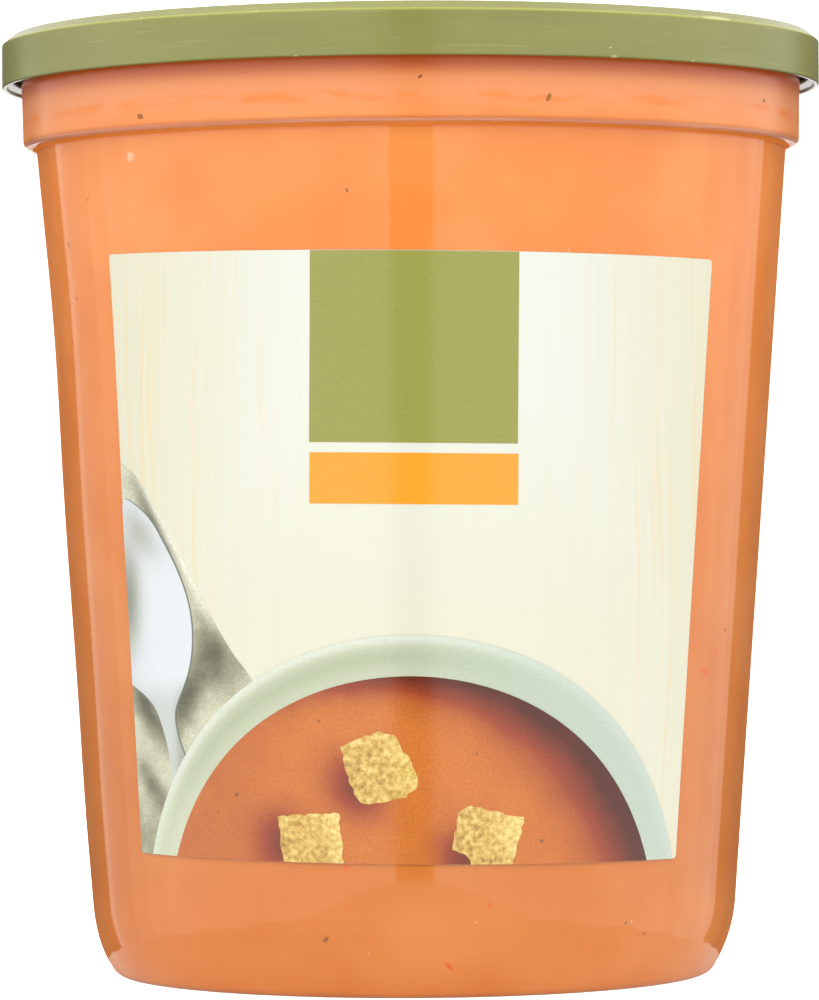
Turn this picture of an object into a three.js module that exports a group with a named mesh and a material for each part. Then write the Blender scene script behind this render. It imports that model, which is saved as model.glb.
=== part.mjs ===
// A closed round deli tub of tomato soup: a clear thin-walled tub, the soup in it,
// a press-on lid and a curved front label. Millimetres, +Z up, the label faces -Y,
// and the origin is the middle of the foot, on the surface that the tub stands on.
import * as THREE from "three";

const segments = 60;

// Tub wall
const wall = 0.8;
const draft = 4.16; // degrees that the body wall leans out
const footRadius = 40.9; // where the flat foot ends and the heel begins
const footRing = 2.4; // width of the ring that the tub stands on
const baseRise = 0.8; // how far the middle of the base stands clear of the table
const heelRadius = 2.1;
const heelEnd = 31.9; // degrees below level where the heel meets the long turn
const turnRadius = 21;

// Collar and rim
const bodyTop = 116.6; // the top of the straight body wall
const collarBottom = 117.9;
const collarTop = 125.3;
const collarRadius = 55.4;
const shoulderRadius = 0.8;
const neckRadius = 54.6;
const rimBottom = 128.4;
const rimTop = 132.2;
const rimRadius = 56.7;

// Contents
const soupLevel = 120;

// Lid
const fit = 0.3; // gap between pieces that touch
const lidWall = 0.8;
const lidTop = 133.4;
const lidRadius = 58.24;
const skirtBottom = 126.05;
const lidShoulder = 1.2;
const snapBead = 1.0; // how far the bead inside the skirt reaches in under the rim
const panelTop = 129.4;
const ringRise = 0.5; // the middle of the panel stands this much higher
const ringRadius = 42;

// Label
const labelBottom = 18.5;
const labelTop = 100.6;
const labelHalfAngle = 52; // degrees each side of its centre line
const labelSide = -0.9; // degrees that its centre lies round from the front
const labelTurn = 0.72; // degrees that it is stuck on turned clockwise
const labelThickness = 0.3;
const labelSegments = 26;

const radians = THREE.MathUtils.degToRad;

function point(radius, height) {
  return new THREE.Vector2(radius, height);
}

// Points on a round of a profile, between two directions given in degrees.
function round(centre, radius, from, to, steps) {
  const points = [];
  for (let i = 0; i <= steps; i++) {
    const angle = radians(from + ((to - from) * i) / steps);
    points.push(point(centre.x + radius * Math.cos(angle), centre.y + radius * Math.sin(angle)));
  }
  return points;
}

// The centre of the long turn, set so that it runs on smoothly from the heel.
function turnCentre() {
  const spread = turnRadius - heelRadius;
  const angle = radians(-heelEnd);
  return point(footRadius - spread * Math.cos(angle), heelRadius - spread * Math.sin(angle));
}

// Where the straight wall begins, and its outer radius at any height above that.
const wallStart = round(turnCentre(), turnRadius, -draft, -draft, 1)[0];

function bodyRadius(height) {
  return wallStart.x + (height - wallStart.y) * Math.tan(radians(draft));
}

// Foot, heel, turn and body wall, from the foot up, moved inwards by an offset.
function lowerProfile(offset, steps) {
  const side = offset / Math.cos(radians(draft));
  return [
    ...round(point(footRadius, heelRadius), heelRadius - offset, -90, -heelEnd, steps),
    ...round(turnCentre(), turnRadius - offset, -heelEnd, -draft, steps).slice(1),
    point(bodyRadius(bodyTop) - side, bodyTop),
  ];
}

// The inside of the tub from the floor up to a level in the collar, moved inwards by a gap.
function insideProfile(gap, level) {
  const offset = wall + gap;
  const ringInner = footRadius - footRing;
  return [
    point(0, baseRise + offset),
    point(ringInner - wall, baseRise + offset),
    point(ringInner, offset),
    ...lowerProfile(offset, 2),
    point(bodyRadius(bodyTop) - offset, collarBottom - 0.6 + gap),
    point(collarRadius - offset - 0.4, collarBottom + 0.6 + gap),
    point(collarRadius - offset, collarBottom + 1.4 + gap),
    point(collarRadius - offset, level),
  ];
}

function tubProfile() {
  const ringInner = footRadius - footRing;
  const shoulder = point(collarRadius - shoulderRadius, collarTop - shoulderRadius);
  const outside = [
    point(0, baseRise),
    point(ringInner - wall, baseRise),
    point(ringInner, 0),
    ...lowerProfile(0, 3),
    point(bodyRadius(bodyTop), collarBottom - 0.5),
    ...round(point(collarRadius - 0.8, collarBottom + 0.7), 0.7, -80, 0, 3),
    ...round(shoulder, shoulderRadius, 0, 90, 3),
    point(neckRadius, rimBottom - 0.6),
    point(rimRadius - 0.4, rimBottom),
    point(rimRadius, rimBottom + 0.4),
    ...round(point(rimRadius - 0.8, rimTop - 0.8), 0.8, 0, 90, 2),
    point(neckRadius, rimTop),
    point(neckRadius - wall, rimTop - 0.6),
    point(neckRadius - wall, collarTop + 0.4),
    point(collarRadius - wall, collarTop - 0.9),
  ];
  const inside = insideProfile(0, collarTop - 1).reverse().slice(1);
  return [...outside, ...inside];
}

function soupProfile() {
  return [...insideProfile(fit, soupLevel), point(0, soupLevel)];
}

// The lid hooks over the rim: a plug inside the neck, a top over the rim and a skirt outside it.
function lidProfile() {
  const plugRadius = neckRadius - wall - fit;
  const skirtInner = lidRadius - lidWall;
  const underTop = rimTop + fit;
  const underside = [
    point(0, panelTop + ringRise - lidWall),
    point(ringRadius - lidWall, panelTop + ringRise - lidWall),
    point(ringRadius, panelTop - lidWall),
    point(plugRadius - 0.6, panelTop - lidWall),
    point(plugRadius, panelTop - 0.2),
    point(plugRadius, underTop - 0.8),
    point(plugRadius + 0.8, underTop),
    point(skirtInner - 0.8, underTop),
    point(skirtInner, underTop - 0.8),
    point(skirtInner, rimBottom - 0.2),
    point(skirtInner - snapBead, rimBottom - 0.9),
    point(skirtInner - snapBead, rimBottom - 1.3),
    point(skirtInner, skirtBottom + 0.3),
    point(skirtInner + 0.3, skirtBottom),
  ];
  const shoulder = point(lidRadius - lidShoulder, lidTop - 0.4 - lidShoulder);
  const outside = [
    point(lidRadius - 0.25, skirtBottom),
    point(lidRadius, skirtBottom + 0.25),
    ...round(shoulder, lidShoulder, 0, 75, 3),
    point(lidRadius - 2.4, lidTop),
    point(plugRadius + 0.4, lidTop),
    point(plugRadius - lidWall, lidTop - 0.8),
    point(plugRadius - lidWall, panelTop + 0.5),
    point(plugRadius - lidWall - 0.5, panelTop),
    point(ringRadius, panelTop),
    point(ringRadius - lidWall, panelTop + ringRise),
    point(0, panelTop + ringRise),
  ];
  return [...underside, ...outside];
}

// A profile turned about the vertical axis.
function turned(profile) {
  return new THREE.LatheGeometry(profile, segments).rotateX(Math.PI / 2);
}

// Moves a corner of the label, given on the wall's foot circle, to its place on the leaning wall,
// turned about the label's own centre.
function placeOnWall(corner) {
  const around = Math.atan2(corner.x, -corner.y);
  const above = corner.z - (labelBottom + labelTop) / 2;
  const turn = Math.sin(radians(labelTurn));
  const height = corner.z - around * bodyRadius(corner.z) * turn;
  const angle = around + (above * turn) / bodyRadius(corner.z) + radians(labelSide);
  const radius = (Math.hypot(corner.x, corner.y) * bodyRadius(height)) / bodyRadius(labelBottom);
  return corner.set(radius * Math.sin(angle), -radius * Math.cos(angle), height);
}

// The label is an arc-shaped slab, bent to follow the wall.
function labelShell() {
  const inner = bodyRadius(labelBottom) + fit;
  const from = radians(-90 - labelHalfAngle);
  const to = radians(-90 + labelHalfAngle);
  const section = new THREE.Shape();
  section.absarc(0, 0, inner + labelThickness, from, to, false);
  section.absarc(0, 0, inner, to, from, true);
  const geometry = new THREE.ExtrudeGeometry(section, {
    depth: labelTop - labelBottom,
    bevelEnabled: false,
    curveSegments: labelSegments,
  });
  geometry.translate(0, 0, labelBottom);
  const corners = geometry.getAttribute("position");
  const corner = new THREE.Vector3();
  for (let i = 0; i < corners.count; i++) {
    placeOnWall(corner.fromBufferAttribute(corners, i));
    corners.setXYZ(i, corner.x, corner.y, corner.z);
  }
  return geometry;
}

const clearPlastic = new THREE.MeshStandardMaterial({
  color: "#f3ece6",
  roughness: 0.12,
  metalness: 0,
  transparent: true,
  opacity: 0.3,
});
const creamySoup = new THREE.MeshStandardMaterial({ color: "#e8883f", roughness: 0.3, metalness: 0 });
const olivePlastic = new THREE.MeshStandardMaterial({ color: "#9ca368", roughness: 0.45, metalness: 0 });
const creamPaper = new THREE.MeshStandardMaterial({ color: "#f1e6d0", roughness: 0.5, metalness: 0 });

function piece(name, geometry, material) {
  const mesh = new THREE.Mesh(geometry, material);
  mesh.name = name;
  return mesh;
}

const group = new THREE.Group();
group.add(piece("tub", turned(tubProfile()), clearPlastic));
group.add(piece("soup", turned(soupProfile()), creamySoup));
group.add(piece("lid", turned(lidProfile()), olivePlastic));
group.add(piece("label", labelShell(), creamPaper));

export default group;
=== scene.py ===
# A closed clear tub of creamy tomato soup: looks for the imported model.
# Sizes in the dictionaries are in millimetres and degrees unless a note says otherwise.
import math
import random

import bpy
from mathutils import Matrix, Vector, noise
from mathutils.geometry import delaunay_2d_cdt


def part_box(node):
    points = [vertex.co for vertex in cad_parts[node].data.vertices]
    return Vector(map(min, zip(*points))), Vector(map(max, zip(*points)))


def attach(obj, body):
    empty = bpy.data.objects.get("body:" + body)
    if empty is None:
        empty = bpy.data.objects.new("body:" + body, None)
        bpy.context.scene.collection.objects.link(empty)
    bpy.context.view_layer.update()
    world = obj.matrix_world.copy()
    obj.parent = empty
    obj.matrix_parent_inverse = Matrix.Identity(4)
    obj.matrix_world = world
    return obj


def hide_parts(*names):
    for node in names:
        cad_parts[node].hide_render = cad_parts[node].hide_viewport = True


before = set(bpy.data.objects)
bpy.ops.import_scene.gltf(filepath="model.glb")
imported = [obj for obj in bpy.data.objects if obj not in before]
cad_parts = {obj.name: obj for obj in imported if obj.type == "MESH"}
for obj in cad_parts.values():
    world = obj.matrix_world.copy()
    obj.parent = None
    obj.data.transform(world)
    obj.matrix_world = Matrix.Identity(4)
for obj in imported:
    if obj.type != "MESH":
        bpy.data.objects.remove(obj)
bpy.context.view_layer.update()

mm = 0.001
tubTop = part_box("tub")[1].z / mm
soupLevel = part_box("soup")[1].z / mm
lidLow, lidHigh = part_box("lid")
lidTop = lidHigh.z / mm
lidBottom = lidLow.z / mm
lidRadius = lidHigh.x / mm


def linearOf(hexColor):
    # sRGB hex to the linear values that shaders use
    values = [int(hexColor[i:i + 2], 16) / 255 for i in (1, 3, 5)]
    return [v / 12.92 if v <= 0.04045 else ((v + 0.055) / 1.055) ** 2.4 for v in values] + [1.0]


def addNode(tree, kind, links=None, stops=None, out=0, **settings):
    # one node with its settings, its linked or typed-in sockets and a ramp's stops; gives one output;
    # a Map Range takes value 0, from 1 and 2, to 3 and 4; a colour Mix takes share 0, colours 6 and 7
    node = tree.nodes.new("ShaderNode" + kind)
    for name, value in settings.items():
        setattr(node, name, value)
    for socket, value in (links or {}).items():
        if isinstance(value, bpy.types.NodeSocket):
            tree.links.new(value, node.inputs[socket])
        else:
            node.inputs[socket].default_value = value
    if stops:
        ramp = node.color_ramp
        while len(ramp.elements) < len(stops):
            ramp.elements.new(0.5)
        for element, (place, color) in zip(ramp.elements, stops):
            element.position = place
            element.color = linearOf(color) if isinstance(color, str) else (color, color, color, 1)
    return node.outputs[out]


def newMaterial(name):
    material = bpy.data.materials.new(name)
    material.use_nodes = True
    tree = material.node_tree
    tree.nodes.clear()
    return material, tree, tree.nodes.new("ShaderNodeOutputMaterial")


def heightInMm(tree, place):
    height = addNode(tree, "SeparateXYZ", {0: place}, out="Z")
    return addNode(tree, "Math", {0: height, 1: 1 / mm}, operation="MULTIPLY")


def levelBand(tree, toMm, middle, reach, shares, blend="LINEAR"):
    # a share round a height: shares[0] up to reach[0] away from it, shares[1] from reach[1] on
    away = addNode(tree, "Math", {0: toMm, 1: middle}, operation="SUBTRACT")
    distance = addNode(tree, "Math", {0: away}, operation="ABSOLUTE")
    return addNode(tree, "MapRange", {0: distance, 1: reach[0], 2: reach[1], 3: shares[0], 4: shares[1]},
                   interpolation_type=blend)


def smooth(edge0, edge1, value):
    share = min(max((value - edge0) / (edge1 - edge0), 0.0), 1.0)
    return share * share * (3 - 2 * share)


def arc(centre, radius, fromDegrees, toDegrees, steps):
    angles = [math.radians(fromDegrees + (toDegrees - fromDegrees) * i / steps) for i in range(steps + 1)]
    return [(centre[0] + radius * math.cos(a), centre[1] + radius * math.sin(a)) for a in angles]


def rounded(corners, stepDegrees=10):
    # a profile through (radius, height, rounding) corners, the first and last left sharp
    points = []
    for i, (radius, height, rounding) in enumerate(corners):
        here = Vector((radius, height))
        if rounding <= 0 or i in (0, len(corners) - 1):
            points.append(here)
            continue
        back = (Vector(corners[i - 1][:2]) - here).normalized()
        ahead = (Vector(corners[i + 1][:2]) - here).normalized()
        half = back.angle(ahead) / 2
        centre = here + (back + ahead).normalized() * rounding / math.sin(half)
        start = here + back * rounding / math.tan(half) - centre
        end = here + ahead * rounding / math.tan(half) - centre
        turn = start.angle_signed(end)
        steps = max(2, math.ceil(math.degrees(abs(turn)) / stepDegrees))
        for k in range(steps + 1):
            angle = math.atan2(start.y, start.x) - turn * k / steps
            points.append(centre + rounding * Vector((math.cos(angle), math.sin(angle))))
    return [(p.x, p.y) for p in points]


def supported(profile, reach=0.15, longest=4.0):
    # a point close to both ends of each long stretch, so that flat stretches shade flat, and steps between
    points = [profile[0]]
    for before, after in zip(profile, profile[1:]):
        a, b = Vector(before), Vector(after)
        length = (b - a).length
        if length < 1e-4:
            continue
        if length > 4 * reach:
            steps = math.ceil(length / longest)
            shares = [reach / length] + [k / steps for k in range(1, steps)] + [1 - reach / length]
            points += [tuple(a.lerp(b, share)) for share in shares]
        points.append(after)
    return points


def newMesh(name, vertices, faces, material):
    mesh = bpy.data.meshes.new(name)
    mesh.from_pydata([(x * mm, y * mm, z * mm) for x, y, z in vertices], [], faces)
    mesh.validate()
    mesh.polygons.foreach_set("use_smooth", [True] * len(mesh.polygons))
    mesh.materials.append(material)
    return mesh


def placed(name, data):
    thing = bpy.data.objects.new(name, data)
    bpy.context.scene.collection.objects.link(thing)
    return thing


def finishPiece(name, vertices, faces, material, sharpDegrees=50):
    mesh = newMesh(name, vertices, faces, material)
    mesh.set_sharp_from_angle(angle=math.radians(sharpDegrees))
    piece = placed(name, mesh)
    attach(piece, "root")
    return piece


def turned(name, profile, segments, place, material):
    # a profile that starts and ends on the axis, turned about it
    vertices, rings = [], []
    for radius, height in supported(profile):
        if radius < 1e-6:
            rings.append([len(vertices)])
            vertices.append((0.0, 0.0, height))
            continue
        rings.append(list(range(len(vertices), len(vertices) + segments)))
        vertices += [place(2 * math.pi * i / segments, radius, height) for i in range(segments)]
    faces = []
    for lower, upper in zip(rings, rings[1:]):
        for i in range(segments):
            j = (i + 1) % segments
            if len(lower) == 1 and len(upper) > 1:
                faces.append((lower[0], upper[j], upper[i]))
            elif len(upper) == 1 and len(lower) > 1:
                faces.append((lower[i], lower[j], upper[0]))
            elif len(upper) > 1:
                faces.append((lower[i], lower[j], upper[j], upper[i]))
    return finishPiece(name, vertices, faces, material)


# the wall that tub, soup and label share
wallShape = {
    "draft": 4.16, "footRadius": 40.9, "footRing": 2.4, "baseRise": 0.8, "heelRadius": 2.1,
    "heelEnd": 31.9, "turnRadius": 21.0, "bodyTop": 116.6, "collarBottom": 117.4,
    "collarTop": 127.7, "collarRadius": 55.5, "neckRadius": 54.6, "rimBottom": 128.8,
    "rimRadius": 56.7, "wall": 0.8, "segments": 320,
    # the thin side wall gives a little on the left: in high up, out low down
    # each is (depth, degrees round from the front, height, width in degrees, tallness)
    "presses": [(0.55, -90.0, 92.0, 42.0, 20.0),
                (-0.28, -88.0, 22.0, 40.0, 16.0),
                (-0.4, -88.0, 2.5, 36.0, 5.0)],
    "pressFade": 20.0,    # closer to the axis than this a press dies away
}
draft = math.radians(wallShape["draft"])


def plainRound(angle, radius, height):
    # angle 0 faces the label side, -Y, and grows towards +X
    return (radius * math.sin(angle), -radius * math.cos(angle), height)


def onWall(angle, radius, height):
    for depth, side, middle, width, tall in wallShape["presses"]:
        off = (math.degrees(angle) - side + 180) % 360 - 180
        press = math.exp(-(off / width) ** 2 - ((height - middle) / tall) ** 2)
        radius -= depth * press * smooth(0, wallShape["pressFade"], radius)
    return plainRound(angle, radius, height)


def turnCentre():
    w = wallShape
    spread = w["turnRadius"] - w["heelRadius"]
    angle = math.radians(-w["heelEnd"])
    return (w["footRadius"] - spread * math.cos(angle), w["heelRadius"] - spread * math.sin(angle))


wallStart = arc(turnCentre(), wallShape["turnRadius"], -wallShape["draft"], -wallShape["draft"], 1)[0]


def bodyRadius(height):
    return wallStart[0] + (height - wallStart[1]) * math.tan(draft)


def lowerProfile(offset):
    # heel and long turn, from the foot up to the straight wall, moved inwards by an offset
    w = wallShape
    heel = arc((w["footRadius"], w["heelRadius"]), w["heelRadius"] - offset, -90, -w["heelEnd"], 8)
    turn = arc(turnCentre(), w["turnRadius"] - offset, -w["heelEnd"], -w["draft"], 8)
    return heel + turn[1:]


def insideProfile(offset, top):
    # from the middle of the floor up to a height in the collar, this far inside the outer wall
    w = wallShape
    ringInner = w["footRadius"] - w["footRing"]
    body = bodyRadius(w["bodyTop"]) - offset
    collar = w["collarRadius"] - offset
    # the step out into the collar; its first corner only gives the wall's direction
    step = rounded([
        (body - 1.0, w["bodyTop"] - 14, 0),
        (body, w["collarBottom"] - 0.2, 0.8),
        (collar - 0.1, w["collarBottom"] + 0.8, 0.7),
        (collar, top, 0)])
    floorHeight = w["baseRise"] + offset
    floor = [(0, floorHeight), (ringInner - w["wall"], floorHeight), (ringInner, offset)]
    return floor + lowerProfile(offset) + step[1:]


clearTub = {
    "ior": 1.54, "roughness": 0.07, "collarRoughness": 0.24, "tint": "#fffaf6", "milkColor": "#ffdccb",
    "mostGloss": 0.32,    # the most that a glancing view mirrors
    # how milky it is in the plain wall, at the collar's lower edge (partly a painted highlight there) and in
    # the thick rim
    "milk": 0.0, "edgeMilkAndHighlight": 0.30, "rimMilk": 0.55,
    # the milky edge: its middle above the collar's bottom, how far it is full and where it ends
    "edgeRise": 0.32, "edgeReach": (0.08, 0.42), "rimStart": 0.2, "etchBlend": 0.4,
}


def injectionMouldedPolypropylene():
    # thin moulded polypropylene: clear and glossy, a trace of milkiness where the wall is thick
    look = clearTub
    material, tree, output = newMaterial("injectionMouldedPolypropylene")
    place = addNode(tree, "TexCoord", out="Object")
    toMm = heightInMm(tree, place)
    # the pale band at the collar's lower edge is partly the thick plastic's own milkiness and partly a
    # painted highlight on that rounded edge
    collarEdge = wallShape["collarBottom"] + look["edgeRise"]
    edgeMilkAndHighlight = levelBand(tree, toMm, collarEdge, look["edgeReach"], (look["edgeMilkAndHighlight"], look["milk"]),
                         "SMOOTHSTEP")
    rimMilk = addNode(tree, "MapRange", {
        0: toMm, 1: wallShape["collarTop"] + look["rimStart"], 2: wallShape["rimBottom"],
        3: 0.0, 4: look["rimMilk"]})
    milkShare = addNode(tree, "Math", {0: edgeMilkAndHighlight, 1: rimMilk}, operation="MAXIMUM")
    through = addNode(tree, "BsdfTransparent", {"Color": linearOf(look["tint"])})
    milk = addNode(tree, "BsdfDiffuse", {"Color": linearOf(look["milkColor"])})
    body = addNode(tree, "MixShader", {0: milkShare, 1: through, 2: milk})
    # the collar is etched a little for grip, so it only glows softly
    etched = addNode(tree, "MapRange", {
        0: toMm, 1: collarEdge - look["etchBlend"], 2: collarEdge + look["etchBlend"],
        3: look["roughness"], 4: look["collarRoughness"]})
    gloss = addNode(tree, "BsdfGlossy", {"Roughness": etched})
    # light goes straight through this thin wall, so the same share is mirrored on its way in and out
    behind = addNode(tree, "NewGeometry", out="Backfacing")
    both = addNode(tree, "MapRange", {0: behind, 3: look["ior"], 4: 1 / look["ior"]})
    fresnel = addNode(tree, "Fresnel", {"IOR": both})
    share = addNode(tree, "Math", {0: fresnel, 1: look["mostGloss"]}, operation="MINIMUM")
    mixed = addNode(tree, "MixShader", {0: share, 1: body, 2: gloss})
    tree.links.new(mixed, output.inputs["Surface"])
    return material


creamSoup = {
    "base": "#e08940", "pale": "#e3914c", "deep": "#dc8339", "speck": "#cf6426",
    # edge is the colour of a painted shade under the lid's skirt, line that of a painted shade in the corner
    # below the collar
    "film": "#df915b", "smear": "#df8134", "edge": "#c65a1e", "line": "#d9702a",
    "cloudSize": 14.0, "speckSize": 1.6, "speckShare": 0.12, "roughness": 0.38,
    # above the level: where the film starts and is whole, how ragged its edge is, and the tide line's place
    "filmStart": -1.2, "filmWhole": 2.6, "ragged": 2.4, "tideHeight": 0.9, "tideSize": 6.5, "tideSquat": 3.2,
    "tideReach": (0.25, 1.1),
    "underLidShadeFrom": 123.0, "underLidShadeTo": 126.0,    # heights of the painted shade under the lid's skirt
    "cornerShadeDrop": 0.25, "cornerShadeReach": (0.12, 0.42),    # the painted shade line's place in the corner below the collar's bottom
    # painted shade over the height: how light the tone is at shares of the height, from the floor up to the
    # top of that stretch
    "heightShadeTop": 110.0,
    "heightShades": [(0.0, 0.94), (0.07, 0.81), (0.13, 0.76), (0.30, 0.79), (0.53, 0.86), (0.73, 0.92),
                (0.97, 1.0)],
}


def blendedCreamSoup():
    # cooked tomato blended with cream: an even soft orange with slow clouds and fine fibre specks
    look = creamSoup
    material, tree, output = newMaterial("blendedCreamSoup")
    place = addNode(tree, "TexCoord", out="Object")
    clouds = addNode(tree, "TexNoise", {
        "Vector": place, "Scale": 1 / (look["cloudSize"] * mm), "Detail": 3.0})
    cloudColor = addNode(tree, "ValToRGB", {0: clouds}, stops=[
        (0.32, look["deep"]), (0.5, look["base"]), (0.68, look["pale"])])
    specks = addNode(tree, "TexNoise", {
        "Vector": place, "Scale": 1 / (look["speckSize"] * mm), "Detail": 2.0})
    speckShare = addNode(tree, "MapRange", {
        0: specks, 1: 0.60, 2: 0.80, 3: 0.0, 4: look["speckShare"]})
    spotted = addNode(tree, "Mix", {0: speckShare, 6: cloudColor, 7: linearOf(look["speck"])},
                      data_type="RGBA", out=2)
    # above the level the wall only wears a thin pale film, edged by a broken darker tide line
    toMm = heightInMm(tree, place)
    ragged = addNode(tree, "Math", {0: clouds, 1: look["ragged"], 2: toMm},
                     operation="MULTIPLY_ADD")
    filmShare = addNode(tree, "MapRange", {
        0: ragged, 1: soupLevel + look["filmStart"], 2: soupLevel + look["filmWhole"], 3: 0.0, 4: 1.0},
        interpolation_type="SMOOTHSTEP")
    filmed = addNode(tree, "Mix", {0: filmShare, 6: spotted, 7: linearOf(look["film"])},
                     data_type="RGBA", out=2)
    flat = addNode(tree, "Mapping", {0: place, 3: (1.0, 1.0, look["tideSquat"])})
    tide = addNode(tree, "TexNoise", {
        "Vector": flat, "Scale": 1 / (look["tideSize"] * mm), "Detail": 4.0})
    broken = addNode(tree, "MapRange", {0: tide, 1: 0.43, 2: 0.54})
    near = levelBand(tree, toMm, soupLevel + look["tideHeight"], look["tideReach"], (0.9, 0.0))
    tideShare = addNode(tree, "Math", {0: near, 1: broken}, operation="MULTIPLY")
    smeared = addNode(tree, "Mix", {0: tideShare, 6: filmed, 7: linearOf(look["smear"])},
                      data_type="RGBA", out=2)
    # painted shade: a dark band close under the lid's skirt, and a darker line in the corner below the
    # collar, where shade falls
    ring = addNode(tree, "MapRange", {0: toMm, 1: look["underLidShadeFrom"], 2: look["underLidShadeTo"], 3: 0.0, 4: 1.0},
                   interpolation_type="SMOOTHSTEP")
    underLidShaded = addNode(tree, "Mix", {0: ring, 6: smeared, 7: linearOf(look["edge"])},
                     data_type="RGBA", out=2)
    # painted shade in the corner below the collar
    cornerShadeHeight = wallShape["collarBottom"] - look["cornerShadeDrop"]
    corner = levelBand(tree, toMm, cornerShadeHeight, look["cornerShadeReach"], (0.65, 0.0))
    cornerShaded = addNode(tree, "Mix", {0: corner, 6: underLidShaded, 7: linearOf(look["line"])},
                    data_type="RGBA", out=2)
    # painted shade: darker low down and a little lighter again at the floor, for how the light falls over the
    # height
    upward = addNode(tree, "MapRange", {0: toMm, 1: 0.0, 2: look["heightShadeTop"]})
    heightShades = addNode(tree, "ValToRGB", {0: upward}, stops=look["heightShades"])
    heightShaded = addNode(tree, "VectorMath", {0: cornerShaded, 1: heightShades}, operation="MULTIPLY")
    surface = addNode(tree, "BsdfPrincipled", {
        "Base Color": heightShaded, "Roughness": look["roughness"], "Specular IOR Level": 0.0})
    tree.links.new(surface, output.inputs["Surface"])
    return material


def makeTub():
    w = wallShape
    ringInner = w["footRadius"] - w["footRing"]
    base = [(0, w["baseRise"]), (ringInner - w["wall"], w["baseRise"]), (ringInner, 0.0)]
    body = bodyRadius(w["collarBottom"])
    # (radius, height, rounding) from the wall up the collar, over the rim and down its inside
    upper = rounded([
        (bodyRadius(90), 90, 0),
        (body, w["collarBottom"] + 0.1, 0.35),
        (w["collarRadius"] - 0.1, w["collarBottom"] + 0.15, 0.75),
        (w["collarRadius"] + 0.05, w["collarTop"], 0.8),
        (w["neckRadius"], w["collarTop"], 0.2),
        (w["neckRadius"], w["rimBottom"], 0.5),
        (w["rimRadius"], w["rimBottom"], 0.6),
        (w["rimRadius"], tubTop, 0.9),
        (w["neckRadius"] - w["wall"], tubTop, 0.6),
        (w["neckRadius"] - w["wall"], w["collarTop"], 0.5),
        (w["collarRadius"] - w["wall"], w["collarTop"] - 1.4, 0.5),
        (w["collarRadius"] - w["wall"], w["collarBottom"] + 3, 0)])
    inside = insideProfile(w["wall"], w["collarBottom"] + 3)
    profile = base + lowerProfile(0) + upper + inside[::-1][1:]
    tub = turned("clearTub", profile, w["segments"], onWall, injectionMouldedPolypropylene())
    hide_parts("tub")


soupBody = {"underSkin": 0.06, "filmThickness": 0.25, "filmTop": 128.4, "meniscus": 1.4}


def makeSoup():
    # the soup reaches just into the wall, and a thin film of it clings to the collar above the level
    s, w = soupBody, wallShape
    outside = insideProfile(s["underSkin"], w["collarTop"] - 1.2)
    depth = s["filmThickness"] + w["wall"] - s["underSkin"]
    collar = w["collarRadius"] - s["underSkin"]
    neck = w["neckRadius"] - s["underSkin"]
    surface = [
        (collar - 0.1, w["collarTop"] - 0.7),
        (neck, w["collarTop"] - 0.35),
        (neck, s["filmTop"]),
        (neck - depth, s["filmTop"] - 0.1),
        (neck - depth, w["collarTop"] - 1.2),
        (collar - depth, w["collarTop"] - 2.2),
        *arc((collar - depth - s["meniscus"], soupLevel + s["meniscus"]), s["meniscus"], 0, -90, 8),
        (0, soupLevel)]
    profile = outside + surface
    soup = turned("creamyTomatoSoup", profile, w["segments"], onWall, blendedCreamSoup())
    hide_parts("soup")


# what is stirred into the soup and lies against the wall
flecks = {
    "seed": 7, "sides": 9, "uneven": (0.75, 1.1), "heights": (6, 115),
    # (how deep in the soup, share of the size): rim just sunk, crown just clear of it, back well inside
    "layers": [(0.04, 1.0), (-0.03, 0.55), (0.3, 0.8)],
    # count and sizes are for the scattered ones; places are (degrees round from the front, height,
    # longest side) of the ones that stand out; slim is width over length
    "kinds": {
        "herbFlecks": {
            "material": "groundHerb", "count": 46, "sizes": (0.25, 0.7), "slim": 0.6,
            "places": [(-15.3, 8.3, 1.6), (-65.8, 103.1, 1.0), (-38.9, 27.2, 0.9), (39.0, 9.6, 0.8),
                       (43.6, 8.0, 0.9), (63.0, 49.1, 0.9), (-9.3, 108.6, 0.7), (19.4, 120.8, 1.2),
                       (-41.3, 119.4, 1.3), (61.7, 122.2, 0.8), (1.3, 123.4, 0.7)]},
        "tomatoBits": {
            "material": "cookedTomatoFlesh", "count": 30, "sizes": (0.5, 1.5), "slim": 0.45,
            "places": [(56.6, 43.4, 2.6), (59.7, 46.0, 2.2), (-11.5, 18.0, 1.6), (6.0, 4.6, 1.8)]},
        "creamSpots": {
            "material": "clottedCream", "count": 40, "sizes": (0.25, 0.5), "slim": 0.8,
            "places": [(-45.7, 114.2, 1.7)]},
    },
    # mottle is in millimetres, tones are stops of it
    "looks": {
        # dried ground herb wetted in cream: dark olive going brown, seen through a skin of soup
        "groundHerb": {"mottle": 0.6, "tones": [(0.3, "#85572d"), (0.7, "#a86f37")], "roughness": 0.5},
        # soft cooked tomato pulp: redder than the soup round it
        "cookedTomatoFlesh": {"mottle": 0.9, "tones": [(0.3, "#cf5a2a"), (0.7, "#d96f34")],
                              "roughness": 0.4},
        # cream that clotted against the wall: pale and soft
        "clottedCream": {"mottle": 1.1, "tones": [(0.35, "#e9a472"), (0.65, "#efb893")],
                         "roughness": 0.4},
    },
}


def stirredIn(name):
    look = flecks["looks"][name]
    material, tree, output = newMaterial(name)
    place = addNode(tree, "TexCoord", out="Object")
    mottle = addNode(tree, "TexNoise", {"Vector": place, "Scale": 1 / (look["mottle"] * mm)})
    color = addNode(tree, "ValToRGB", {0: mottle}, stops=look["tones"])
    surface = addNode(tree, "BsdfPrincipled", {
        "Base Color": color, "Roughness": look["roughness"], "Specular IOR Level": 0.0})
    tree.links.new(surface, output.inputs["Surface"])
    return material


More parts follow.
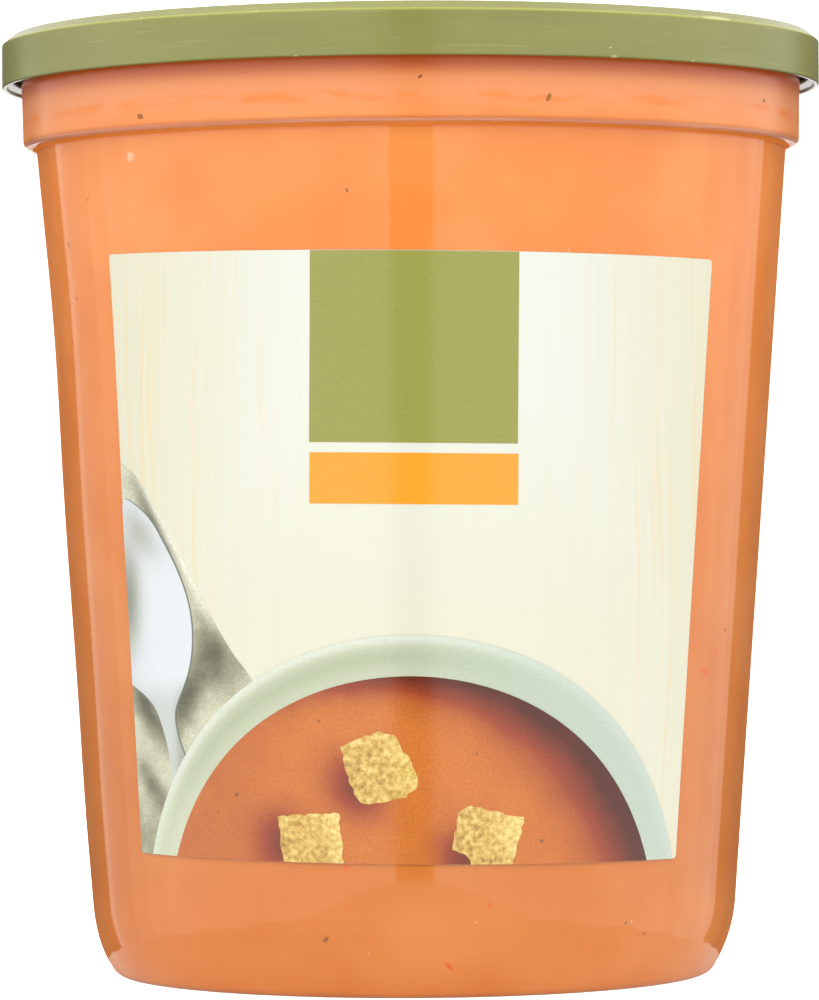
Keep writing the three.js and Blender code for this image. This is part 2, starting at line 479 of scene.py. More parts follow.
def wallRadiusAt(height):
    w = wallShape
    if height > w["collarBottom"] + 1:
        return w["collarRadius"]
    if height > wallStart[1]:
        return bodyRadius(height)
    profile = lowerProfile(0)
    for low, high in zip(profile, profile[1:]):
        if low[1] <= height <= high[1]:
            share = (height - low[1]) / max(high[1] - low[1], 1e-6)
            return low[0] + share * (high[0] - low[0])
    return w["footRadius"]


def fleckMesh(places, rng, slim):
    # small uneven flat chips, each a closed shape lying along the wall
    vertices, faces = [], []
    sides = flecks["sides"]
    for degrees, height, size in places:
        angle = math.radians(degrees)
        tilt = rng.uniform(0, math.pi)
        around = [(rng.uniform(*flecks["uneven"]), 2 * math.pi * k / sides) for k in range(sides)]
        outline = []
        for reach, turn in around:
            along = size / 2 * reach * math.cos(turn)
            across = size / 2 * slim * reach * math.sin(turn)
            outline.append((along * math.cos(tilt) - across * math.sin(tilt),
                            along * math.sin(tilt) + across * math.cos(tilt)))
        rim = len(vertices)
        crown, back = rim + sides, rim + 2 * sides
        for depth, shrink in flecks["layers"]:
            for across, up in outline:
                z = height + up * shrink
                radius = wallRadiusAt(z) - soupBody["underSkin"] - depth
                vertices.append(onWall(angle + across * shrink / radius, radius, z))
        for k in range(sides):
            n = (k + 1) % sides
            faces.append((rim + k, rim + n, crown + n, crown + k))
            faces.append((back + k, back + n, rim + n, rim + k))
        faces.append(tuple(crown + k for k in range(sides)))
        faces.append(tuple(back + k for k in reversed(range(sides))))
    return vertices, faces


def makeFlecks():
    rng = random.Random(flecks["seed"])
    for name, kind in flecks["kinds"].items():
        places = list(kind["places"])
        for _ in range(kind["count"]):
            places.append((rng.uniform(0, 360), rng.uniform(*flecks["heights"]), rng.uniform(*kind["sizes"])))
        vertices, faces = fleckMesh(places, rng, kind["slim"])
        finishPiece(name, vertices, faces, stirredIn(kind["material"]), sharpDegrees=80)


lidShape = {
    "lidWall": 0.8, "bevelDrop": 1.25, "bevelRun": 1.5, "panelTop": 129.4, "panelDrop": 0.5, "ringRise": 0.5,
    "ringRadius": 42.0, "gap": 0.3, "segments": 384,
    # the bead that grips under the rim: how far in and how far below the rim
    "beadDepth": 1.0, "beadTop": 0.6, "beadDrop": 1.5,
    # the edge colour, its share and its reach make a painted highlight along the bevel's lower edge
    "color": "#757637", "pale": "#7d7e3f", "edge": "#a3a43a", "roughness": 0.27, "ior": 1.51,
    "driftSize": 24.0, "grainSize": 0.5, "highlightShare": 0.55, "edgeReach": (0.05, 0.28),
    # pale spots: (degrees round, height, size); those on the bevel's edge are painted highlights, the row of
    # them where a small notch catches the light, and those low on the skirt are pale marks at small nubs
    "paleMarkColor": "#c3c480", "paleSpotShare": 0.55, "paleSpotSquat": 2.4,
    "paleSpots": [(27.8, 126.2, 0.7), (40.8, 126.2, 0.45), (-15.1, 126.15, 0.45), (27.2, 127.4, 0.35),
               (43.3, 132.25, 0.7), (44.2, 132.3, 0.9), (45.1, 132.32, 1.0), (46.0, 132.32, 1.0),
               (46.9, 132.3, 0.9), (47.7, 132.25, 0.7), (-20.5, 132.3, 0.4), (-38.4, 132.25, 0.4)],
    "scratchSize": 9.0, "scratchLength": 26.0, "scratchShare": 0.12,
}


def mouldedPolyethylene():
    # dyed low-density polyethylene: waxy satin olive, faintly streaked round the skirt by the mould
    look = lidShape
    material, tree, output = newMaterial("mouldedPolyethylene")
    place = addNode(tree, "TexCoord", out="Object")
    streaks = addNode(tree, "Mapping", {0: place, 3: (1.0, 1.0, 6.0)})
    drift = addNode(tree, "TexNoise", {
        "Vector": streaks, "Scale": 1 / (look["driftSize"] * mm), "Detail": 3.0})
    dyed = addNode(tree, "ValToRGB", {0: drift}, stops=[(0.3, look["color"]), (0.7, look["pale"])])
    # painted highlight: a yellower line along the bevel's lower edge, where the light catches it
    toMm = heightInMm(tree, place)
    paintedHighlight = levelBand(tree, toMm, lidTop - look["bevelDrop"], look["edgeReach"], (look["highlightShare"], 0.0))
    color = addNode(tree, "Mix", {0: paintedHighlight, 6: dyed, 7: linearOf(look["edge"])}, data_type="RGBA", out=2)
    squat = addNode(tree, "VectorMath", {0: place, 1: (1.0, 1.0, look["paleSpotSquat"])},
                    operation="MULTIPLY")
    # pale spots: painted highlights on the bevel's edge, pale marks at small nubs low on the skirt
    for degrees, up, size in look["paleSpots"]:
        turn = math.radians(degrees)
        middle = (lidRadius * mm * math.sin(turn), -lidRadius * mm * math.cos(turn),
                  look["paleSpotSquat"] * up * mm)
        reach = addNode(tree, "VectorMath", {0: squat, 1: middle}, operation="DISTANCE", out="Value")
        paleSpot = addNode(tree, "MapRange", {
            0: reach, 1: 0.3 * size * mm, 2: size * mm, 3: look["paleSpotShare"], 4: 0.0})
        color = addNode(tree, "Mix", {0: paleSpot, 6: color, 7: linearOf(look["paleMarkColor"])},
                        data_type="RGBA", out=2)
    # faint handling scratches, long and nearly level
    level = addNode(tree, "Mapping", {
        0: place, 2: (0.0, 0.02, 0.0), 3: (1.0, 1.0, look["scratchLength"])})
    worn = addNode(tree, "TexNoise", {
        "Vector": level, "Scale": 1 / (look["scratchSize"] * mm), "Detail": 3.0})
    scratch = addNode(tree, "MapRange", {
        0: worn, 1: 0.66, 2: 0.72, 3: 0.0, 4: look["scratchShare"]})
    scratched = addNode(tree, "Mix", {0: scratch, 6: color, 7: linearOf(look["paleMarkColor"])},
                        data_type="RGBA", out=2)
    grain = addNode(tree, "TexNoise", {
        "Vector": place, "Scale": 1 / (look["grainSize"] * mm), "Detail": 2.0})
    bump = addNode(tree, "Bump", {"Height": grain, "Strength": 0.06, "Distance": 0.00005})
    surface = addNode(tree, "BsdfPrincipled", {
        "Base Color": scratched, "Roughness": look["roughness"], "IOR": look["ior"], "Normal": bump})
    tree.links.new(surface, output.inputs["Surface"])
    return material


def makeLid():
    w, d = wallShape, lidShape
    plug = w["neckRadius"] - w["wall"] - d["gap"]
    skirtInner = lidRadius - d["lidWall"]
    under = tubTop + d["gap"]
    panel, rise, thick = d["panelTop"], d["ringRise"], d["lidWall"]
    # (radius, height, rounding): out along the underside, down and up the skirt, and back over the top
    corners = [
        (0, panel + rise - thick, 0),
        (d["ringRadius"] - thick, panel + rise - thick, 0.3),
        (d["ringRadius"], panel - thick, 0.3),
        (plug, panel - thick, 0.8),
        (plug, under, 0.7),
        (skirtInner, under, 0.7),
        (skirtInner, w["rimBottom"] - d["beadTop"], 0.3),
        (skirtInner - d["beadDepth"], w["rimBottom"] - d["beadDrop"], 0.4),
        (skirtInner, lidBottom + 0.5, 0.3),
        (skirtInner + 0.15, lidBottom, 0.15),
        (lidRadius, lidBottom, 0.3),
        (lidRadius, lidTop - d["bevelDrop"], 0.25),
        (lidRadius - d["bevelRun"], lidTop, 0.7),
        (plug + 0.3, lidTop, 0.5),
        (plug - thick, lidTop - d["panelDrop"], 0.5),
        (plug - thick, panel, 0.6),
        (d["ringRadius"], panel, 0.35),
        (d["ringRadius"] - thick, panel + rise, 0.35),
        (0, panel + rise, 0)]
    profile = rounded(corners, 9)
    lid = turned("pressOnLid", profile, d["segments"], plainRound, mouldedPolyethylene())
    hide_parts("lid")


# the label is a film with its print laid on it as thin fields of ink
labelShape = {
    "bottom": 18.5, "top": 100.6, "halfAngle": 52.0, "side": -0.9, "turn": 0.72, "cornerRadius": 0.7,
    "film": 0.09, "ink": 0.03, "cell": 1.5,
}
labelMiddle = (labelShape["bottom"] + labelShape["top"]) / 2


def onLabel(across, height, lift):
    # a point of the flat print, measured from the label's centre line, laid on the leaning wall
    d = labelShape
    turn = math.radians(d["turn"])
    z = height - across * math.sin(turn)
    angle = (across + (height - labelMiddle) * math.sin(turn)) / bodyRadius(height) + math.radians(d["side"])
    return onWall(angle, bodyRadius(z) + lift, z)


def onFilm(outline, margin=0.02):
    # trims a field of ink to the label's straight edges
    d = labelShape
    half = math.radians(d["halfAngle"])
    slope = math.tan(draft) * half
    base = bodyRadius(0) * half
    edges = [lambda p: p[1] - d["bottom"] - margin, lambda p: d["top"] - margin - p[1],
             lambda p: base + slope * p[1] - margin - p[0], lambda p: base + slope * p[1] - margin + p[0]]
    for inside in edges:
        kept = []
        for a, b in zip(outline, outline[1:] + outline[:1]):
            if inside(a) >= 0:
                kept.append(a)
            if (inside(a) >= 0) != (inside(b) >= 0):
                share = inside(a) / (inside(a) - inside(b))
                kept.append((a[0] + (b[0] - a[0]) * share, a[1] + (b[1] - a[1]) * share))
        outline = kept
    return outline


def dense(outline, step):
    points = []
    for a, b in zip(outline, outline[1:] + outline[:1]):
        steps = max(1, round(math.dist(a, b) / step))
        points += [(a[0] + (b[0] - a[0]) * k / steps, a[1] + (b[1] - a[1]) * k / steps) for k in range(steps)]
    return points


def insideOutline(point, outline):
    x, y = point
    odd = False
    for (ax, ay), (bx, by) in zip(outline, outline[1:] + outline[:1]):
        if (ay > y) != (by > y) and x < (bx - ax) * (y - ay) / (by - ay) + ax:
            odd = not odd
    return odd


def ink(name, outlines, layer, material, tone=None, cell=None, thickness=None):
    # thin closed plates that follow the wall; tone(across, height) gives three shares for the material
    d = labelShape
    cell = cell or d["cell"]
    thickness = thickness or d["ink"]
    top = 0.02 + d["film"] + layer * d["ink"]
    flat, faces = [], []
    for outline in outlines:
        edge = dense(outline, cell)
        xs, ys = [p[0] for p in edge], [p[1] for p in edge]
        inner = []
        for i in range(1, int((max(xs) - min(xs)) / cell) + 1):
            for k in range(1, int((max(ys) - min(ys)) / cell) + 1):
                point = (min(xs) + i * cell, min(ys) + k * cell)
                if insideOutline(point, outline) and min(math.dist(point, q) for q in edge) > 0.45 * cell:
                    inner.append(point)
        loop = list(range(len(edge)))
        made = delaunay_2d_cdt([Vector(p) for p in edge + inner], [], [loop], 1, 1e-6)
        start = len(flat)
        flat += [tuple(p) for p in made[0]]
        faces += [tuple(start + v for v in face) for face in made[2]]
    borders = {}
    for face in faces:
        for a, b in zip(face, face[1:] + face[:1]):
            if (b, a) in borders:
                del borders[(b, a)]
            else:
                borders[(a, b)] = True
    count = len(flat)
    vertices = [onLabel(x, y, top) for x, y in flat] + [onLabel(x, y, top - thickness) for x, y in flat]
    allFaces = faces + [tuple(count + v for v in reversed(face)) for face in faces]
    allFaces += [(b, a, count + a, count + b) for a, b in borders]
    piece = finishPiece(name, vertices, allFaces, material, sharpDegrees=40)
    plane = piece.data.attributes.new("plane", "FLOAT_VECTOR", "POINT")
    tones = piece.data.attributes.new("tone", "FLOAT_VECTOR", "POINT")
    for k, (x, y) in enumerate(flat + flat):
        plane.data[k].vector = (x, y, 0)
        tones.data[k].vector = tone(x, y) if tone else (0, 0, 0)
    return piece


labelInk = {
    "roughness": 0.16, "ior": 1.45,
    "cream": "#cac8b1", "creamWhite": "#ced1c8", "grainInk": "#d4bd8c",
    "green": "#8b8c42", "orange": "#e69224",
}


def printedFilm(name, stops, second="#ffffff", third="#ffffff", grain=0.05, mottle=0.0, mottleSize=1.0):
    # process inks on a glossy film: soft screen grain, with the colour led by the field's own shares;
    # the screen is drawn coarser than real dots, which are too fine to show
    material, tree, output = newMaterial(name)
    plane = addNode(tree, "Attribute", attribute_name="plane", out="Vector")
    tone = addNode(tree, "Attribute", attribute_name="tone", out="Vector")
    shares = addNode(tree, "SeparateXYZ", {0: tone}).node.outputs
    blotch = addNode(tree, "TexNoise", {
        "Vector": plane, "Scale": 1 / mottleSize, "Detail": 3.0})
    spread = addNode(tree, "MapRange", {0: blotch, 1: 0.25, 2: 0.75, 3: -mottle, 4: mottle})
    place = addNode(tree, "Math", {0: shares[0], 1: spread}, operation="ADD", use_clamp=True)
    first = addNode(tree, "ValToRGB", {0: place}, stops=stops)
    withSecond = addNode(tree, "Mix", {0: shares[1], 6: first, 7: linearOf(second)},
                         data_type="RGBA", out=2)
    withThird = addNode(tree, "Mix", {0: shares[2], 6: withSecond, 7: linearOf(third)},
                        data_type="RGBA", out=2)
    screen = addNode(tree, "TexNoise", {"Vector": plane, "Scale": 2.6, "Detail": 1.0})
    dots = addNode(tree, "MapRange", {0: screen, 1: 0.3, 2: 0.7, 3: 1 - grain, 4: 1 + grain})
    screened = addNode(tree, "VectorMath", {0: withThird, 1: dots}, operation="MULTIPLY")
    surface = addNode(tree, "BsdfPrincipled", {
        "Base Color": screened, "Roughness": labelInk["roughness"], "IOR": labelInk["ior"]})
    tree.links.new(surface, output.inputs["Surface"])
    return material


boards = {
    "sway": 4.0, "swaysPerMm": 0.03, "grainPerMm": 1.15, "grainStretch": 0.02, "grainShare": 0.6,
    # the pale middle: its centre, where it ends, where the sides are at full strength, and what is left in it
    "paleAt": 3.0, "paleEnd": 14.0, "sideFull": 44.0, "paleShare": 0.12,
    "warmBelow": 52.0, "coolAbove": 88.0, "warmShare": 0.8,
}


def limewashedBoardPrint():
    # a print of limewashed boards: nearly white in the middle, warm straight grain at both sides
    b = boards
    material, tree, output = newMaterial("limewashedBoardPrint")
    plane = addNode(tree, "Attribute", attribute_name="plane", out="Vector")
    sway = addNode(tree, "TexNoise", {
        "Vector": plane, "Scale": b["swaysPerMm"], "Detail": 1.0}, out="Color")
    swayed = addNode(tree, "VectorMath", {0: sway, 1: (b["sway"], 0.0, 0.0), 2: plane},
                     operation="MULTIPLY_ADD")
    board = addNode(tree, "VectorMath", {0: swayed, 1: (b["grainPerMm"], b["grainStretch"], 1.0)},
                    operation="MULTIPLY")
    grain = addNode(tree, "TexNoise", {
        "Vector": board, "Scale": 1.0, "Detail": 4.0, "Roughness": 0.6})
    places = addNode(tree, "SeparateXYZ", {0: plane}).node.outputs
    aside = addNode(tree, "Math", {0: places[0], 1: b["paleAt"]}, operation="SUBTRACT")
    far = addNode(tree, "Math", {0: aside}, operation="ABSOLUTE")
    strength = addNode(tree, "MapRange", {
        0: far, 1: b["paleEnd"], 2: b["sideFull"], 3: b["paleShare"], 4: 1.0},
        interpolation_type="SMOOTHSTEP")
    lines = addNode(tree, "MapRange", {0: grain, 1: 0.50, 2: 0.68, 3: 0.0, 4: b["grainShare"]})
    share = addNode(tree, "Math", {0: lines, 1: strength}, operation="MULTIPLY")
    lower = addNode(tree, "MapRange", {
        0: places[1], 1: b["warmBelow"], 2: b["coolAbove"], 3: b["warmShare"], 4: 0.0})
    warmth = addNode(tree, "Math", {0: strength, 1: lower}, operation="MAXIMUM")
    creams = {6: linearOf(labelInk["creamWhite"]), 7: linearOf(labelInk["cream"])}
    ground = addNode(tree, "Mix", {0: warmth, **creams}, data_type="RGBA", out=2)
    grained = addNode(tree, "Mix", {0: share, 6: ground, 7: linearOf(labelInk["grainInk"])},
                      data_type="RGBA", out=2)
    surface = addNode(tree, "BsdfPrincipled", {
        "Base Color": grained, "Roughness": labelInk["roughness"], "IOR": labelInk["ior"]})
    tree.links.new(surface, output.inputs["Surface"])
    return material


def labelOutline():
    d = labelShape
    half = math.radians(d["halfAngle"])
    low, high = bodyRadius(d["bottom"]) * half, bodyRadius(d["top"]) * half
    corners = [(-low, d["bottom"]), (low, d["bottom"]), (high, d["top"]), (-high, d["top"])]
    outline = []
    for i, corner in enumerate(corners):
        here = Vector(corner)
        back = (Vector(corners[i - 1]) - here).normalized()
        ahead = (Vector(corners[(i + 1) % 4]) - here).normalized()
        for share in (k / 6 for k in range(7)):
            start, end = here + back * d["cornerRadius"], here + ahead * d["cornerRadius"]
            point = start * (1 - share) ** 2 + here * 2 * share * (1 - share) + end * share ** 2
            outline.append((point.x, point.y))
    return outline


printPlaces = {
    # all measured from the label's centre line and the table
    "green": (-13.35, 75.0, 14.85, 100.55), "orange": (-13.3, 66.8, 14.95, 73.65),
    "bowlCentre": (0.96, 7.5), "bowlRadius": 41.8, "soupCentre": (0.77, 6.8), "soupRadius": 37.0,
    "croutons": [
        [(-8.9, 34.2), (-7.1, 35.0), (-3.6, 36.4), (-1.5, 35.9), (-0.4, 33.6), (0.8, 32.3), (1.7, 29.2),
         (0.0, 27.6), (-4.7, 26.5), (-6.3, 26.8), (-7.4, 29.1)],
        [(-17.5, 24.7), (-14.3, 24.9), (-9.0, 25.3), (-8.6, 21.7), (-8.3, 18.0), (-16.7, 18.0),
         (-17.2, 21.5)],
        [(7.0, 25.6), (8.7, 26.4), (12.9, 25.4), (16.1, 24.8), (15.4, 21.7), (14.3, 18.0), (8.8, 18.0),
         (8.4, 19.6), (6.1, 20.5), (6.7, 23.2)]],
    "spoon": [(-46.0, 67.6), (-42.5, 66.6), (-38.9, 64.4), (-36.0, 60.6), (-34.0, 57.7), (-32.0, 53.6),
              (-31.2, 49.3), (-31.6, 44.8), (-33.1, 41.3), (-34.3, 39.2), (-34.7, 37.5), (-33.9, 34.5),
              (-32.8, 32.5), (-32.0, 30.0), (-34.0, 28.0), (-35.0, 29.9), (-36.3, 34.4), (-38.1, 38.4),
              (-40.2, 40.1), (-43.1, 41.5), (-46.0, 42.5)],
    "spoonEdge": (0.22, 0.05),    # how far the spoon's dark edge shows beside it
    "tearSeed": 11, "tearDepth": 0.16,
    "herbs": [((-23.9, 27.4), 0.28), ((-20.2, 23.9), 0.22), ((-26.9, 24.9), 0.16), ((18.6, 21.6), 0.26),
              ((-9.4, 32.6), 0.2), ((9.5, 33.4), 0.18), ((-11.8, 37.6), 0.2), ((23.5, 27.0), 0.16)],
    "napkin": [(-47.0, 73.0), (-40.9, 69.8), (-36.9, 64.4), (-31.5, 57.0), (-25.6, 47.6), (-21.4, 43.0),
               (-18.0, 38.0), (-30.0, 17.0), (-49.0, 17.0)],
}


def curvedOutline(corners, rounds=2):
    # softens a closed outline by cutting its corners
    for _ in range(rounds):
        softer = []
        for a, b in zip(corners, corners[1:] + corners[:1]):
            softer.append((a[0] * 0.75 + b[0] * 0.25, a[1] * 0.75 + b[1] * 0.25))
            softer.append((a[0] * 0.25 + b[0] * 0.75, a[1] * 0.25 + b[1] * 0.75))
        corners = softer
    return corners


def circle(centre, radius, steps=160):
    return arc(centre, radius, 0, 360 - 360 / steps, steps - 1)


def spot(x, y, place, wide, tall, slant=0.0):
    # a soft oval share, 1 in its middle
    c, s = math.cos(math.radians(slant)), math.sin(math.radians(slant))
    dx, dy = x - place[0], y - place[1]
    along, off = dx * c + dy * s, dy * c - dx * s
    return math.exp(-(along / wide) ** 2 - (off / tall) ** 2)


# soft dark spots in the print: (share, (across, height), half length, half width, slant in degrees)
printShades = {
    "napkin": [(0.75, (-27.2, 46.2), 5.2, 3.2, -56), (0.95, (-32.6, 40.2), 6.0, 2.5, 58),
               (0.95, (-37.4, 62.6), 7.0, 1.8, -56), (0.95, (-40.4, 38.6), 5.5, 2.1, -48),
               (0.7, (-39.4, 28.2), 5.0, 1.5, -48)],
    "spoon": [(1.0, (-44.2, 53.5), 2.6, 7.0, 0), (0.45, (-41.0, 62.5), 4.5, 2.2, -40)],
    # how far each crouton's shadow lies from its middle, and the shadow's size
    "croutonShadows": [(-3.2, -2.6), (-3.4, -1.2), (-2.2, -3.2)], "shadowSize": (4.0, 4.6, 30),
}


def shaded(x, y, spots):
    return sum(share * spot(x, y, place, *size) for share, place, *size in spots)


def middleOf(outline):
    return (sum(q[0] for q in outline) / len(outline), sum(q[1] for q in outline) / len(outline))


def printFields(p):
    for name in ("green", "orange"):
        left, low, right, high = p[name]
        color = labelInk[name]
        field = onFilm([(left, low), (right, low), (right, high), (left, high)])
        ink(name + "Field", [field], 1, printedFilm(name + "InkOnFilm", [(0.0, color), (1.0, color)]))


def printNapkin(p):
    edgeStart, edgeEnd = p["napkin"][2], p["napkin"][4]
    edgeLength = math.dist(edgeStart, edgeEnd)

    def tone(x, y):
        fade = smooth(76, 69, y + 0.55 * (x + 40))
        dark = shaded(x, y, printShades["napkin"]) + 0.4 * smooth(30, 20, y)
        # the far edge of the cloth is out of focus
        right = (x - edgeStart[0]) * (edgeStart[1] - edgeEnd[1])
        above = (y - edgeStart[1]) * (edgeEnd[0] - edgeStart[0])
        blurred = smooth(-1.5, 0.2, (right + above) / edgeLength) * smooth(46, 58, y)
        return (min(0.1 + dark, 1.0), max(1 - fade, blurred), 0)

    linen = printedFilm("linenPrint", [(0.0, "#c6c6ae"), (0.5, "#8d8c73"), (1.0, "#54533e")],
                        second="#d6d5c2", grain=0.11, mottle=0.12, mottleSize=2.2)
    ink("napkinField", [onFilm(curvedOutline(p["napkin"], 1))], 1, linen, tone, cell=1.0)


def printSpoon(p):
    right, up = p["spoonEdge"]
    edge = [(x + right, y + up) for x, y in p["spoon"]]
    steelEdge = printedFilm("steelEdgePrint", [(0.0, "#6c706a"), (1.0, "#6c706a")])
    ink("spoonEdgeField", [onFilm(curvedOutline(edge))], 2, steelEdge, cell=1.2)

    def tone(x, y):
        neck = smooth(43.5, 38.5, y)
        dark = shaded(x, y, printShades["spoon"]) + neck * (0.3 + 0.4 * smooth(-35.0, -33.2, x))
        return (min(dark, 1.0), 0, 0)

    steel = printedFilm("polishedSteelPrint", [(0.0, "#c9cdcf"), (0.5, "#a2a69c"), (1.0, "#7b8073")],
                        grain=0.02)
    ink("spoonField", [onFilm(curvedOutline(p["spoon"]))], 3, steel, tone, cell=0.9)


def printBowl(p):
    def tone(x, y):
        # lit along its rim, shaded beside the soup, greyer to the right and paler low on the left
        lit = 0.85 * smooth(p["bowlRadius"] - 2.6, p["bowlRadius"] - 0.3, math.dist((x, y), p["bowlCentre"]))
        inner = smooth(p["soupRadius"] + 2.4, p["soupRadius"] + 0.4, math.dist((x, y), p["soupCentre"]))
        side = smooth(-8, 30, x)
        pale = 0.6 * smooth(36, 18, y) * smooth(-20, -34, x)
        return (min(0.5 * inner * (1 - side) + lit, 1.0), side * 0.8, pale)

    glaze = printedFilm("celadonGlazePrint", [(0.0, "#a0a98d"), (0.5, "#afb59b"), (1.0, "#cdd2c6")],
                        second="#adbaae", third="#bcc2a9", grain=0.04)
    ink("bowlField", [onFilm(circle(p["bowlCentre"], p["bowlRadius"]))], 4, glaze, tone, cell=0.8)


def printSoup(p):
    middles = [middleOf(crouton) for crouton in p["croutons"]]

    def tone(x, y):
        # the bowl's far side throws its shadow in from the upper right, each crouton one to its lower left
        gap = max(p["soupRadius"] - math.dist((x, y), p["soupCentre"]), 0)
        lean = smooth(-30, 34, x)
        rim = (0.8 + 0.3 * lean) * math.exp(-(gap / (1.4 + 7.0 * lean ** 2)) ** 1.6) * smooth(-28, 2, x)
        falls = shaded(x, y, [(0.8, (mx + right, my + up), *printShades["shadowSize"])
                              for (mx, my), (right, up) in zip(middles, printShades["croutonShadows"])])
        return (min(rim + falls + 0.16 * smooth(-12, -28, x), 1.0), 0, 0)

    broth = printedFilm("tomatoSoupPrint", [(0.0, "#bb6b2d"), (0.5, "#8e3d23"), (1.0, "#4e2116")],
                        grain=0.09, mottle=0.06, mottleSize=5.0)
    ink("printedSoupField", [onFilm(circle(p["soupCentre"], p["soupRadius"]))], 5, broth, tone, cell=0.8)


def printCroutons(p):
    rng = random.Random(p["tearSeed"])
    torn = p["tearDepth"]
    middles = [middleOf(crouton) for crouton in p["croutons"]]
    outlines = []
    for crouton in p["croutons"]:
        edge = [(x + rng.uniform(-torn, torn), y + rng.uniform(-torn, torn)) for x, y in dense(crouton, 0.6)]
        outlines.append(onFilm(edge))

    def tone(x, y):
        middle = min(middles, key=lambda m: math.dist(m, (x, y)))
        lit = smooth(0.5, 4.5, (x - middle[0]) + 0.4 * (y - middle[1]))
        return (0.40 - 0.3 * lit + 0.25 * (noise.noise(Vector((x * 0.5, y * 0.5, 0))) + 0.3), 0, 0)

    # the pores are drawn a little coarser than real crumb, so that they show
    crumb = printedFilm("toastedCrumbPrint", [(0.0, "#d8c078"), (0.5, "#bd9a4e"), (1.0, "#85602a")],
                        grain=0.12, mottle=0.46, mottleSize=0.75)
    ink("croutonFields", outlines, 6, crumb, tone, cell=0.6)
    herb = printedFilm("herbPrint", [(0.0, "#86502f"), (1.0, "#86502f")])
    ink("printedHerbFields", [circle(place, size, 8) for place, size in p["herbs"]], 6, herb, cell=0.4)


def makeLabel():
    film = ink("labelFilm", [labelOutline()], 0, limewashedBoardPrint(), thickness=labelShape["film"])
    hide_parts("label")
    for printPart in (printFields, printNapkin, printSpoon, printBowl, printSoup, printCroutons):
        printPart(printPlaces)


studio = {
    "lens": 187.2, "cameraDistance": 743.6, "eyeLevel": 66.28, "rollDegrees": 0.31,
    "shiftRight": -0.0033, "shiftUp": 0.008,
    # soft panels on both sides, each (from, to, glow) along Y: dimmer behind, nothing straight behind
    "panelSide": 500, "frontLow": -1700, "backLow": -260, "panelHigh": 2000,
    "leftPanels": [(-4400, -500, 1.6), (-500, 30, 1.6), (30, 130, 1.3), (130, 230, 1.0), (230, 430, 0.72),
                   (430, 505, 1.0)],
    "rightPanels": [(-4400, -500, 1.55), (-500, 60, 1.55), (60, 220, 1.35), (220, 370, 1.1),
                    (370, 450, 0.85)],
    "topGlow": 1.35, "topHeight": 900, "topSize": 1200,
    "backTopPlace": (0, 1350, 950), "backTopSize": (3400, 1000), "backTopGlow": 1.15,
    "fillPlace": (0, -1300, 1150), "fillSize": (1500, 800), "fillGlow": 2.05,
    "fillTarget": (0, 0, 70),
    # the disc round the foot: middle along Y, half-size across and along
    "table": (-38, 57, 82), "tableColor": "#c0c0be", "tableGlow": 0.27,
    # the card behind: half-widths near and far, where it starts and ends, height
    "card": (50, 330, 45, 1480, 1500),
    # the sweep: front, back, half-width, bend and height
    "sweep": (-1500, 1500, 2600, 500, 2600), "paper": "#f7f7f6", "backdropGlow": 1.0,
    "wallRadius": 5000, "wallHeight": 6000, "roundSteps": 72, "room": 0.12,
}


def litStage(name, vertices, faces, color, glow):
    # matte paper or acrylic that is lit through from behind
    material, tree, output = newMaterial("litPaper" + name.capitalize())
    paper = addNode(tree, "BsdfDiffuse", {"Color": linearOf(color)})
    light = addNode(tree, "Emission", {"Strength": glow})
    surface = addNode(tree, "AddShader", {0: paper, 1: light})
    tree.links.new(surface, output.inputs["Surface"])
    piece = placed(name, newMesh(name, vertices, faces, material))
    return piece


def makeStage():
    # a pale sweep curves up behind the tub; the tub mirrors only the table round it and a narrow card behind
    s = studio
    front, back, wide, bend, tall = s["sweep"]
    line = [(front, 0.0), (back - bend, 0.0)]
    line += [(back - bend + y, z + bend) for y, z in arc((0, 0), bend, -90, 0, 16)][1:]
    line += [(back, tall)]
    vertices = [(side * wide, y, z - 0.1) for y, z in line for side in (-1, 1)]
    faces = [(2 * i, 2 * i + 1, 2 * i + 3, 2 * i + 2) for i in range(len(line) - 1)]
    sweep = litStage("sweep", vertices, faces, s["paper"], s["backdropGlow"])
    # beyond the sweep a plain round wall, only there to be looked at from the sides
    n = s["roundSteps"]
    ring = circle((0, 0), s["wallRadius"], n)
    wall = [(x, y, z) for z in (-0.2, s["wallHeight"]) for x, y in ring]
    faces = [(i, (i + 1) % n, n + (i + 1) % n, n + i) for i in range(n)] + [tuple(range(n))]
    roundWall = litStage("roundWall", wall, faces, s["paper"], s["backdropGlow"])
    roundWall.visible_shadow = False
    for backdrop in (sweep, roundWall):
        backdrop.visible_glossy = False
        backdrop.visible_diffuse = False
    centre, across, along = s["table"]
    disc = [(x * across, centre + y * along, -0.05) for x, y in circle((0, 0), 1, n)]
    table = litStage("table", disc, [tuple(range(n))], s["tableColor"], s["tableGlow"])
    table.visible_camera = False
    near, far, cardFront, cardBack, high = s["card"]
    corners = [(-near, cardFront, -0.07), (near, cardFront, -0.07), (far, cardBack, -0.07),
               (-far, cardBack, -0.07), (far, cardBack, high), (-far, cardBack, high)]
    litStage("card", corners, [(0, 1, 2, 3), (3, 2, 4, 5)], s["paper"], s["backdropGlow"])


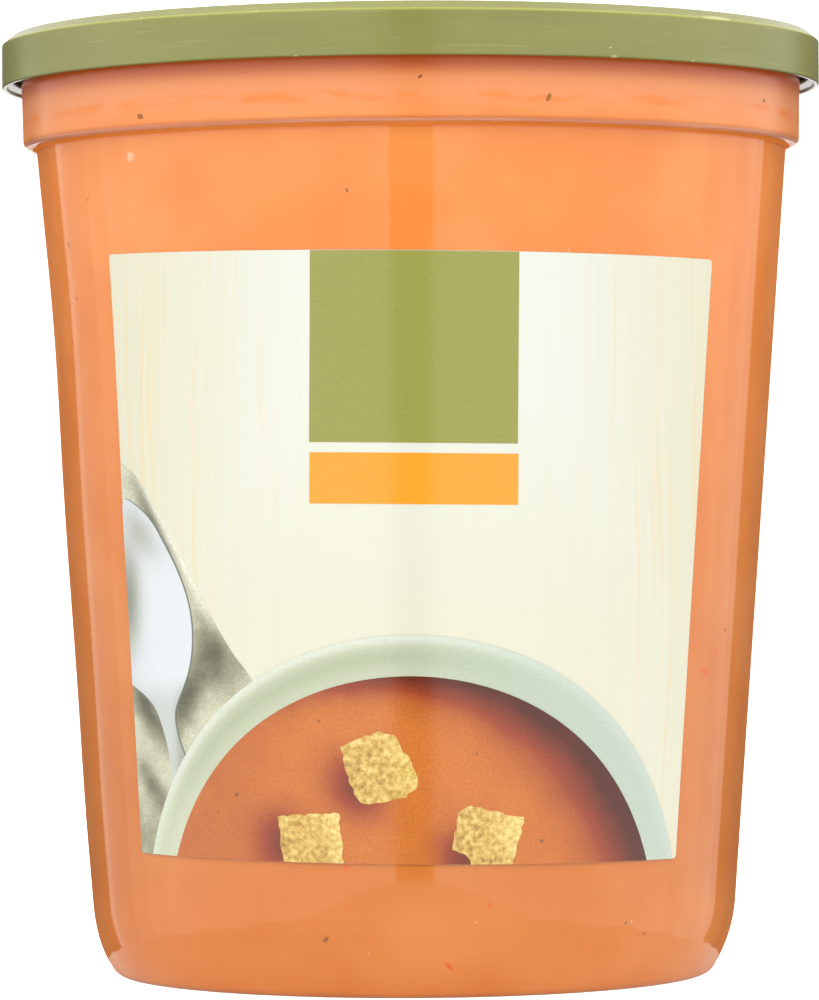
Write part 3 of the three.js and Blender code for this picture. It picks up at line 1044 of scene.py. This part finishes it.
def softPanel(name, place, facing, size, glow):
    lamp = bpy.data.lights.new(name, "AREA")
    lamp.shape = "RECTANGLE"
    lamp.size, lamp.size_y = size[0] * mm, size[1] * mm
    lamp.energy = glow * math.pi * lamp.size * lamp.size_y
    panel = placed(name, lamp)
    panel.location = [v * mm for v in place]
    panel.rotation_euler = Vector(facing).to_track_quat("-Z", "Y").to_euler()


def makeLights():
    s = studio
    for side, parts in ((-1, s["leftPanels"]), (1, s["rightPanels"])):
        for front, back, glow in parts:
            low = s["frontLow"] if back < 0 else s["backLow"]
            place = (side * s["panelSide"], (front + back) / 2, (low + s["panelHigh"]) / 2)
            size = (back - front, s["panelHigh"] - low)
            softPanel(f"panel{side}_{front}", place, (-side, 0, 0), size, glow)
    softPanel("topPanel", (0, 0, s["topHeight"]), (0, 0, -1), (s["topSize"], s["topSize"]), s["topGlow"])
    softPanel("backTopPanel", s["backTopPlace"], (0, -1.0, -0.7), s["backTopSize"], s["backTopGlow"])
    toTub = [target - start for target, start in zip(s["fillTarget"], s["fillPlace"])]
    softPanel("frontFill", s["fillPlace"], toTub, s["fillSize"], s["fillGlow"])
    world = bpy.data.worlds.new("dimRoom")
    world.use_nodes = True
    background = world.node_tree.nodes["Background"]
    background.inputs["Color"].default_value = (1, 1, 1, 1)
    background.inputs["Strength"].default_value = s["room"]
    bpy.context.scene.world = world
    bpy.context.scene.view_settings.view_transform = "Standard"


def makeCamera():
    s = studio
    lens = bpy.data.cameras.new("camera")
    lens.sensor_fit = "VERTICAL"
    lens.sensor_height = 36.0
    lens.lens = s["lens"]
    lens.shift_x = s["shiftRight"]
    lens.shift_y = s["shiftUp"]
    lens.clip_start = 0.01
    camera = placed("camera", lens)
    camera.location = (0, -s["cameraDistance"] * mm, s["eyeLevel"] * mm)
    camera.rotation_euler = (math.pi / 2, math.radians(s["rollDegrees"]), 0)
    bpy.context.scene.camera = camera


makeCamera()
makeStage()
makeLights()
print("stage, lights and camera are in place")
makeTub()
makeSoup()
makeFlecks()
print("tub, soup and flecks are made")
makeLid()
print("lid is made")
makeLabel()
print("label is made")
